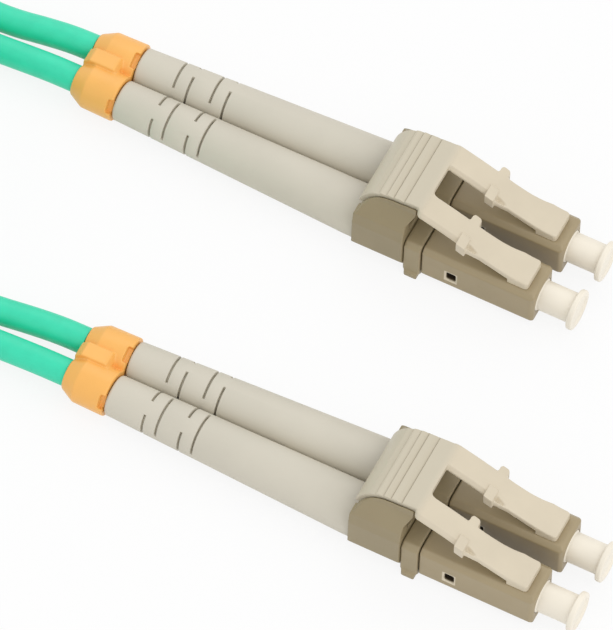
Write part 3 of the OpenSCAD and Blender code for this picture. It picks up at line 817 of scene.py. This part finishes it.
# Places down the arm: outer side, foot of its bevel, fin (side, drop), valley (side, drop),
# edge of the flat top, inner edge of the top, inner side
ARM_EDGE = [
    (-13.25, (1.2, 0.42, 1.12, 0.32, 1.04, 0.16, 0.95, 0.95, 1.15)),
    (-13.12, (1.48, 0.42, 1.4, 0.32, 1.26, 0.16, 1.13, 0.95, 1.15)),
    (-12.9, (1.66, 0.42, 1.58, 0.32, 1.44, 0.16, 1.31, 0.95, 1.15)),
    (-12.6, (1.7, 0.42, 1.62, 0.32, 1.48, 0.16, 1.35, 0.95, 1.15)),
    (-8.0, (1.7, 0.42, 1.62, 0.32, 1.48, 0.16, 1.35, 0.95, 1.15)),
    (-7.8, (2.02, 0.34, 1.88, 0.05, 1.45, 0.5, 1.12, 0.95, 1.15)),
    (-7.5, (2.0, 0.32, 1.86, 0.05, 1.47, 0.5, 1.17, 0.96, 1.15)),
    (-7.2, (1.95, 0.28, 1.83, 0.05, 1.5, 0.44, 1.24, 0.97, 1.15)),
    (-6.9, (1.88, 0.24, 1.78, 0.04, 1.54, 0.34, 1.33, 0.98, 1.15)),
    (-6.5, (1.79, 0.18, 1.72, 0.03, 1.6, 0.12, 1.5, 1.0, 1.16)),
    (-6.2, (1.74, 0.14, 1.66, 0.02, 1.58, 0.02, 1.5, 1.03, 1.17)),
    (-5.0, (1.68, 0.12, 1.6, 0.03, 1.52, 0.01, 1.42, 1.12, 1.25)),
    (-3.9, (1.65, 0.12, 1.58, 0.03, 1.5, 0.01, 1.4, 1.28, 1.42)),
    (-2.9, (1.65, 0.12, 1.58, 0.03, 1.5, 0.01, 1.4, 1.5, 1.65)),
    (-1.3, (1.65, 0.12, 1.58, 0.03, 1.5, 0.01, 1.4, 1.5, 1.65)),
    (-1.1, (1.56, 0.12, 1.5, 0.05, 1.42, 0.03, 1.33, 1.42, 1.56)),
    (-1.0, (1.35, 0.16, 1.3, 0.1, 1.25, 0.08, 1.2, 1.25, 1.35))]


def arm_section(x, bottom):
    """Ring of an arm at x, from its top down to that height."""
    side, foot, fin, fin_drop, dip, dip_drop, flat, flat_in, side_in = between(x, ARM_EDGE)
    top = arm_top(x)
    return [(x, -side, bottom), (x, -side, top - foot), (x, -fin, top - fin_drop),
            (x, -dip, top - dip_drop), (x, -flat, top), (x, flat_in, top),
            (x, side_in, top - 0.18), (x, side_in, bottom)]


class PATCH_OT_latches(bpy.types.Operator):
    """Mould the ribbed thumb cover and the two latch arms of each end in one piece"""
    bl_idname = "patch.latches"
    bl_label = "Latches"

    def execute(self, context):
        settings = context.scene.patch_latch
        # The cover mark paints shade on the ribbed cover
        material = plastic("latch_plastic", settings.colour, 0.4, cover=settings.cover)
        form = self.form(settings)
        # Painted shade: the mark darkens the cover behind the arms' roots
        set_mark(form, "cover", lambda spot: (ARM_ROOT_X + 0.3 - spot.x) / 0.9)
        for end in ENDS:
            latch = put(f"{end}_latch", form, place(end), material, None,
                        [f"{end}_latch_clip", f"{end}_latch_feet"])
            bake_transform(latch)
        return {"FINISHED"}

    def form(self, settings):
        arm = bmesh.new()
        steps = 40
        run = [ARM_EDGE[0][0] + (ARM_FRONT_X - ARM_EDGE[0][0]) * i / steps
               for i in range(steps + 1)]
        run = sorted(set(run) | {x for x, _ in ARM_EDGE})
        thick = settings.arm_t / MM
        loft(arm, [arm_section(x, max(arm_top(x) - thick, FRAME_TOP)) for x in run])
        feet = [x for x in run if x >= FOOT_X] + [FOOT_X]
        loft(arm, [arm_section(x, FRAME_TOP) for x in sorted(set(feet))])
        self.wings(arm)
        arm = mesh_of(arm)
        shape = bmesh.new()
        for side in SIDES.values():
            add_copy(shape, arm, Matrix.Translation((0, side * PITCH / 2, 0)))
        behind, bend, inward = ARM_ROOT_X - 0.3, 0.5, 1.6
        corner = [(behind, 0.5), (ARM_ROOT_X + 0.55, 0.9)]
        corner += arc((ARM_ROOT_X + bend, inward), bend, 270, 180, 6) + [(behind, inward)]
        loft(shape, [[(x, y - PITCH / 2, arm_top(x) - drop) for x, y in corner]
                     for drop in (thick, 0.02)])
        self.cover(shape, settings)
        bmesh.ops.recalc_face_normals(shape, faces=shape.faces[:])
        mould = Mould(shape, LATCH_VOXEL)
        mould.soften(6)
        mould.cut(self.plates(settings))
        return mould.done()

    def wings(self, shape):
        """A square block on the arm's right side and a round nub on its left."""
        low, high, root, drop = -8.6, -7.64, 0.7, 1.05
        block = [(low, -root), (low, -2.2), (high, -2.2), (high, -root)]
        bend, reach = 0.36, 1.9
        nub = [(high, root)] + arc((high - bend, reach - bend), bend, 0, 90, 5)
        nub += arc((low + bend, reach - bend), bend, 90, 180, 5) + [(low, root)]
        for outline, rise in ((block, 0.24), (nub, 0.02)):
            loft(shape, [[(x, y, arm_top(x) - drop) for x, y in outline],
                         [(x, y, arm_top(x) + rise) for x, y in outline]])

    def cover(self, shape, settings):
        thick, half = settings.cover_t / MM, settings.cover_w / MM / 2
        middle = COVER_CREST_H - COVER_BACK_H

        def curve(inset):
            length, rise = COVER_BACK_L - inset, COVER_BACK_H - inset
            low = math.asin((COVER_LIP_H - middle) / rise)
            turns = [low + (math.pi / 2 - low) * i / 16 for i in range(17)]
            return [(COVER_CREST_X - length * math.cos(a), middle + rise * math.sin(a))
                    for a in turns]

        outline = curve(0) + [(ARM_ROOT_X, COVER_H), (ARM_ROOT_X, COVER_H - thick)]
        prism(shape, outline + curve(thick)[::-1], "Y", -half, half)

    def plates(self, settings):
        """Wedges that leave the cover's plates, each falling to a thin groove and a step."""
        shape = bmesh.new()
        step, half = settings.step_h / MM, settings.cover_w / MM / 2 + 1
        groove_w, groove_t, plate_l = 0.11, 0.2, 0.7
        for x in STEP_X:
            start, edge, top = x - plate_l, x - groove_w, cover_top(x)
            prism(shape, [(start, cover_top(start)), (edge, cover_top(edge) - step),
                          (edge, top - groove_t), (x, top - groove_t), (x, COVER_H + 1),
                          (start, COVER_H + 1)], "Y", -half, half)
        return shape


# ---------------------------------------------------------------- coil strap
class PATCH_OT_strap(bpy.types.Operator):
    """Wind the woven strap nearly twice round the coil"""
    bl_idname = "patch.strap"
    bl_label = "Coil strap"

    def execute(self, context):
        settings = context.scene.patch_cord
        low, high = node_box("coil_strap")
        low, high = low / MM, high / MM
        wall, thick, edge = 0.8, settings.strap_t / MM, 0.1
        half = (high.y - low.y) / 2
        shape = bmesh.new()
        uv = shape.loops.layers.uv.new("weave")
        middle = (low.y + high.y) / 2
        route = self.route(low.x + wall, high.x - wall, low.z + wall, high.z - wall, thick)
        sections = []
        for i, (x, z) in enumerate(route):
            before, after = route[max(i - 1, 0)], route[min(i + 1, len(route) - 1)]
            along = Vector((after[0] - before[0], 0, after[1] - before[1])).normalized()
            out = Vector((along.z, 0, -along.x))
            ring = [(half - edge, -thick / 2), (half, edge - thick / 2),
                    (half, thick / 2 - edge), (half - edge, thick / 2)]
            ring += [(-y, up) for y, up in reversed(ring)]
            sections.append([Vector((x, middle + y, z)) + out * up for y, up in ring])
        loft(shape, sections)
        runs = [0.0]
        for one, two in zip(route, route[1:]):
            runs.append(runs[-1] + math.dist(one, two))
        spots = {}
        for run, section in zip(runs, sections):
            for point in section:
                spots[tuple(round(c, 4) for c in point)] = run
        for face in shape.faces:
            for loop in face.loops:
                run = spots[tuple(round(c, 4) for c in loop.vert.co)]
                loop[uv].uv = (run, loop.vert.co.y - middle)
        put("coil_tie", mesh_of(shape), Matrix.Scale(MM, 4), weave("strap_fabric", settings.strap),
            "root", ["coil_strap"])
        return {"FINISHED"}

    def route(self, x0, x1, z0, z1, thick):
        """Middle line of the wound strap, from inside the coil over the top and round."""
        first, second, bend = thick / 2 + 0.01, thick * 1.5 + 0.04, 1.6
        middle = (z0 + z1) / 2

        def corners(out, count):
            points = []
            for x, z, start in ((x1 - bend, z1 - bend, 0), (x0 + bend, z1 - bend, 90),
                                (x0 + bend, z0 + bend, 180), (x1 - bend, z0 + bend, 270))[:count]:
                points += arc((x, z), bend + out, start, start + 90, 8)
            return points

        return ([(x1 + first, middle)] + corners(first, 4)
                + [(x1 + first, middle - 3), (x1 + second, middle - 1)]
                + corners(second, 3) + [(x1 - 6, z0 - second)])


# ---------------------------------------------------------------- parts inside
class PATCH_OT_inner_parts(bpy.types.Operator):
    """Give the parts inside the plugs and boots their finishes"""
    bl_idname = "patch.inner_parts"
    bl_label = "Inner parts"

    def execute(self, context):
        settings = context.scene.patch_inner
        finishes = {
            "ferrule": plastic("ceramic", settings.ceramic, 0.15),
            "ferrule_flange": metal("flange_metal", settings.flange, 0.32),
            "ferrule_spring": metal("spring_steel", settings.spring, 0.25),
            "crimp_sleeve": metal("crimp_metal", settings.crimp, 0.38),
            "buffered_fibre": plastic("buffer", settings.buffer, 0.4),
            "jacket_end": jacket_finish(context.scene.patch_cord.jacket),
        }
        for node, item in frame["nodes"].items():
            for part, material in finishes.items():
                if node.endswith("_" + part):
                    item.data.materials.clear()
                    item.data.materials.append(material)
        return {"FINISHED"}


# ---------------------------------------------------------------- strands
LEAD_A = {
    "lower": [
        (-35.3, 13.2, 2.75), (-38, 13.2, 2.7), (-41, 13.15, 2.5), (-44, 13.1, 2.25),
        (-47, 13.2, 1.9), (-50.5, 13.6, 1.55), (-54, 14.4, 1.5), (-58, 15.3, 1.7),
        (-61.5, 15.8, 2.1), (-65.2, 16, 2.4), (-67.2, 16, 2.4)],
    "upper": [
        (-35.3, 17.2, 2.75), (-38, 17.15, 2.65), (-41, 16.95, 2.35), (-44, 16.7, 2),
        (-47, 16.6, 2), (-50.5, 16.75, 2.6), (-54, 16.9, 3.6), (-58, 16.8, 4.6),
        (-61.5, 16.3, 5.3), (-65.2, 16, 5.65), (-67.2, 16, 5.65)],
}
LEAD_B = {
    "lower": [
        (-67.2, -32, 8.9), (-65.2, -32, 8.9), (-61, -31.2, 8.6), (-57, -29.3, 7.6),
        (-53, -26.6, 6), (-49, -23.5, 4.3), (-45, -20.3, 2.9), (-41, -17.2, 1.9),
        (-38, -15.3, 1.5), (-35, -14.1, 1.5), (-32, -13.7, 1.7), (-29, -13.5, 2),
        (-26, -13.3, 2.35), (-23, -13.2, 2.65), (-20.3, -13.2, 2.75)],
    "upper": [
        (-67.2, -32, 12.15), (-65.2, -32, 12.15), (-61, -31.4, 11.9), (-57, -29.8, 10.9),
        (-53, -27.6, 9.4), (-49, -25.1, 7.5), (-45, -22.5, 5.7), (-41, -20.1, 4),
        (-38, -18.6, 2.9), (-35, -17.6, 2.2), (-32, -17.2, 2.05), (-29, -17.2, 2.25),
        (-26, -17.2, 2.5), (-23, -17.2, 2.7), (-20.3, -17.2, 2.75)],
}
COIL_CENTRE = (-70, -8)
COIL_RINGS = 24


def coil_pitch(settings):
    """Distance between neighbouring turns in millimetres."""
    return (settings.cable_d + settings.turn_gap) / MM


def coil_points(settings, level):
    """Centre line of one strand's turns in millimetres: in, over the climb and out again."""
    pitch = coil_pitch(settings)
    half = settings.coil_turns + 0.25
    inner = settings.coil_out_r / MM - pitch * half
    dip = settings.coil_dip / MM
    points = []
    for i in range(int(2 * half * COIL_RINGS) + 1):
        t = i / COIL_RINGS
        angle = math.radians(90 + 360 * t)
        away = abs(t - half)
        near = max(0, 1 - 4 * away * away)
        radius = inner + pitch * away - dip * near * near
        climb = max(0, min(1, (t - half) * 2 + 0.5)) * 2 * pitch
        points.append((COIL_CENTRE[0] + radius * math.cos(angle),
                       COIL_CENTRE[1] + radius * math.sin(angle), level + climb))
    return points


def strand_route(settings, strand):
    """Whole centre line of a strand in metres, from end a to end b."""
    level = settings.coil_z / MM + STRANDS.index(strand) * coil_pitch(settings)
    route = LEAD_A[strand] + coil_points(settings, level) + LEAD_B[strand]
    return [Vector(p) * MM for p in route]


class PATCH_OT_strands(bpy.types.Operator):
    """Lay both strands through the coil as smooth curves"""
    bl_idname = "patch.strands"
    bl_label = "Strands"

    def execute(self, context):
        settings = context.scene.patch_cord
        material = jacket_finish(settings.jacket)
        for strand in STRANDS:
            route = strand_route(settings, strand)
            curve = bpy.data.curves.new(f"{strand}_strand", "CURVE")
            curve.dimensions = "3D"
            curve.bevel_depth = settings.cable_d / 2
            curve.bevel_resolution = 8
            curve.use_fill_caps = True
            curve.resolution_u = 3
            spline = curve.splines.new("BEZIER")
            spline.bezier_points.add(len(route) - 1)
            for point, spot in zip(spline.bezier_points, route):
                point.co = spot
                point.handle_left_type = point.handle_right_type = "AUTO"
            piece = add_piece(f"{strand}_strand", curve, material, "root")
            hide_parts(f"{strand}_lead_a", f"{strand}_coil", f"{strand}_lead_b")
        return {"FINISHED"}


# ---------------------------------------------------------------- stage
FLOOR_REACH = 4.0


def seen_rays(nodes, link):
    """One for camera, glossy and transmission rays, and nought for the others."""
    path = nodes.new("ShaderNodeLightPath")
    seen = path.outputs["Is Camera Ray"]
    for kind in ("Is Glossy Ray", "Is Transmission Ray"):
        either = nodes.new("ShaderNodeMath")
        either.operation = "MAXIMUM"
        link(seen, either.inputs[0])
        link(path.outputs[kind], either.inputs[1])
        seen = either.outputs[0]
    return seen


class PATCH_OT_stage(bpy.types.Operator):
    """Set up the camera, the lamps, the sky and the pale floor"""
    bl_idname = "patch.stage"
    bl_label = "Stage"

    def execute(self, context):
        settings = context.scene.patch_stage
        self.camera(context.scene, settings)
        self.floor(settings)
        self.lamps(settings)
        self.sky(context.scene, settings)
        context.scene.view_settings.view_transform = "Standard"
        return {"FINISHED"}

    def camera(self, scene, settings):
        data = bpy.data.cameras.new("camera")
        data.sensor_width = 36
        data.lens = settings.focal * data.sensor_width / max(PICTURE_W, PICTURE_H)
        data.clip_end = 100
        camera = new_object("camera", data)
        back = Vector((math.sin(settings.azimuth) * math.cos(settings.elevation),
                       -math.cos(settings.azimuth) * math.cos(settings.elevation),
                       math.sin(settings.elevation)))
        turn = (-back).to_track_quat("-Z", "Y").to_matrix().to_4x4()
        camera.matrix_world = (Matrix.Translation(Vector(settings.target)
                                                  + back * settings.distance)
                               @ turn @ Matrix.Rotation(settings.roll, 4, "Z"))
        scene.camera = camera

    def floor(self, settings):
        shape = bmesh.new()
        bmesh.ops.create_grid(shape, x_segments=2, y_segments=2, size=FLOOR_REACH)
        floor = new_object("floor", mesh_of(shape))
        floor.data.materials.append(self.floor_finish(settings))

    def floor_finish(self, settings):
        """White to the camera and to reflections, but for a faint shadow of the object."""
        material = bpy.data.materials.new("floor")
        material.use_nodes = True
        nodes = material.node_tree.nodes
        nodes.clear()
        link = material.node_tree.links.new
        output = nodes.new("ShaderNodeOutputMaterial")
        paint = nodes.new("ShaderNodeBsdfDiffuse")
        paint.inputs["Color"].default_value = (*linear(settings.floor), 1)
        glow = nodes.new("ShaderNodeEmission")
        both = nodes.new("ShaderNodeMixShader")
        share = nodes.new("ShaderNodeMath")
        share.operation = "MULTIPLY"
        share.inputs[1].default_value = settings.lift
        link(seen_rays(nodes, link), share.inputs[0])
        link(share.outputs[0], both.inputs["Fac"])
        link(paint.outputs[0], both.inputs[1])
        link(glow.outputs[0], both.inputs[2])
        link(both.outputs[0], output.inputs["Surface"])
        return material

    def lamps(self, settings):
        for name, power, spot, width in (
                ("key_lamp", settings.key, (0.65, -0.2, 0.7), 0.7),
                ("fill_lamp", settings.fill, (-0.4, 0.5, 0.7), 0.6)):
            data = bpy.data.lights.new(name, "AREA")
            data.energy = power
            data.size = width
            lamp = new_object(name, data)
            lamp.location = spot
            lamp.rotation_mode = "QUATERNION"
            lamp.rotation_quaternion = (-Vector(spot)).to_track_quat("-Z", "Y")
            lamp.visible_camera = False

    def sky(self, scene, settings):
        """Plain white where it is seen, and its own strength where it only lights."""
        world = bpy.data.worlds.new("sky")
        scene.world = world
        world.use_nodes = True
        nodes = world.node_tree.nodes
        nodes.clear()
        link = world.node_tree.links.new
        output = nodes.new("ShaderNodeOutputWorld")
        light = nodes.new("ShaderNodeBackground")
        light.inputs["Strength"].default_value = settings.sky
        seen = nodes.new("ShaderNodeBackground")
        for node in (light, seen):
            node.inputs["Color"].default_value = (1, 1, 1, 1)
        both = nodes.new("ShaderNodeMixShader")
        link(seen_rays(nodes, link), both.inputs["Fac"])
        link(light.outputs[0], both.inputs[1])
        link(seen.outputs[0], both.inputs[2])
        link(both.outputs[0], output.inputs["Surface"])


# ---------------------------------------------------------------- add-on
OPERATORS = (PATCH_OT_stage, PATCH_OT_strands, PATCH_OT_plug_frames, PATCH_OT_back_bodies,
             PATCH_OT_dust_caps, PATCH_OT_boots, PATCH_OT_boot_clips, PATCH_OT_holders,
             PATCH_OT_latches, PATCH_OT_strap, PATCH_OT_inner_parts)


class PATCH_PT_panel(bpy.types.Panel):
    """Lists the pieces of the patch cord"""
    bl_idname = "PATCH_PT_panel"
    bl_label = "Patch cord"
    bl_space_type = "VIEW_3D"
    bl_region_type = "UI"
    bl_category = "Patch cord"

    def draw(self, context):
        for operator in OPERATORS:
            self.layout.operator(operator.bl_idname)
        for name in GROUPS:
            group = getattr(context.scene, name)
            box = self.layout.box()
            for key in group.__annotations__:
                box.prop(group, key)


def register():
    for group in GROUPS.values():
        bpy.utils.register_class(group)
    for name, group in GROUPS.items():
        setattr(bpy.types.Scene, name, PointerProperty(type=group))
    for operator in OPERATORS:
        bpy.utils.register_class(operator)
    bpy.utils.register_class(PATCH_PT_panel)


def unregister():
    bpy.utils.unregister_class(PATCH_PT_panel)
    for operator in reversed(OPERATORS):
        bpy.utils.unregister_class(operator)
    for name in GROUPS:
        delattr(bpy.types.Scene, name)
    for group in reversed(list(GROUPS.values())):
        bpy.utils.unregister_class(group)


def main():
    register()
    for operator in OPERATORS:
        getattr(bpy.ops.patch, operator.bl_idname.split(".")[1])()


if __name__ == "__main__":
    main()
